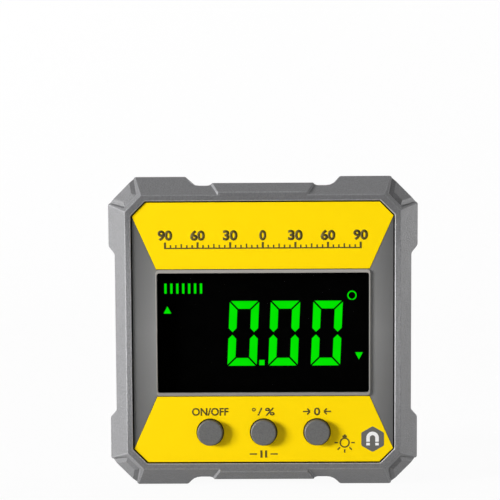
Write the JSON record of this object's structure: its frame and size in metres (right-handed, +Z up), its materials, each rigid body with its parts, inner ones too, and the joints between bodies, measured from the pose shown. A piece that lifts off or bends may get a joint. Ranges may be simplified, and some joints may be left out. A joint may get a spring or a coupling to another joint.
{
  "type": "digital angle gauge",
  "caption": "Square magnetic box that shows its tilt on a lit display, with a bevelled cast frame, coloured front panels, round push buttons and a battery door at the back.",
  "frame": {"origin": "under the middle of the whole box, on the plane that the two lower feet stand on", "axes": "+X to the right of the display, +Y to the back, +Z up; the display faces -Y"},
  "size_m": [0.06, 0.033, 0.06],
  "materials": {
    "casting": "fine-grained grey paint on a casting",
    "panel": "satin grey",
    "yellow": "satin yellow",
    "lens": "clear",
    "display_black": "black",
    "display_green": "lit green",
    "holder": "black moulding",
    "seal": "soft black",
    "board": "green board",
    "steel": "bright plated",
    "chip": "black",
    "button": "fine-grained grey",
    "cover": "dark grey moulding",
    "cell_wrap": "printed sleeve, plain",
    "lead_red": "red insulation",
    "lead_black": "black insulation",
    "magnet": "nickel plated"
  },
  "bodies": {
    "case": {"housing": "casting", "face_plate": "panel", "upper_inlay": "yellow", "lower_inlay": "yellow", "display_window": "lens", "display_mask": "display_black", "light_panel": "display_green", "display_holder": "holder", "face_seal": "seal", "circuit_board": "board", "board_screw_1": "steel", "board_screw_2": "steel", "board_screw_3": "steel", "board_screw_4": "steel", "controller_chip": "chip", "tilt_sensor": "steel", "power_switch": "chip", "tilt_switch": "chip", "zero_switch": "chip", "rear_cover": "cover", "rear_seal": "seal", "rear_screw_1": "steel", "rear_screw_2": "steel", "rear_screw_3": "steel", "rear_screw_4": "steel", "battery_door": "cover", "door_seal": "seal", "door_screw_1": "steel", "door_screw_2": "steel", "battery_1": "cell_wrap", "battery_2": "cell_wrap", "battery_spring_1": "steel", "battery_spring_2": "steel", "contact_bridge": "steel", "contact_negative": "steel", "contact_positive": "steel", "lead_negative": "lead_black", "lead_positive": "lead_red", "base_magnet_1": "magnet", "base_magnet_2": "magnet", "base_magnet_3": "magnet", "base_magnet_4": "magnet"},
    "power_key": {"power_button": "button", "power_plunger": "holder"},
    "tilt_key": {"tilt_button": "button", "tilt_plunger": "holder"},
    "zero_key": {"zero_button": "button", "zero_plunger": "holder"}
  },
  "joints": [
    {"name": "power_press", "type": "slide", "parent": "case", "child": "power_key", "axis": [0, 1, 0], "range_m": [0, 0.0005], "stiffness_N_per_m": 1500},
    {"name": "tilt_press", "type": "slide", "parent": "case", "child": "tilt_key", "axis": [0, 1, 0], "range_m": [0, 0.0005], "stiffness_N_per_m": 1500},
    {"name": "zero_press", "type": "slide", "parent": "case", "child": "zero_key", "axis": [0, 1, 0], "range_m": [0, 0.0005], "stiffness_N_per_m": 1500}
  ]
}
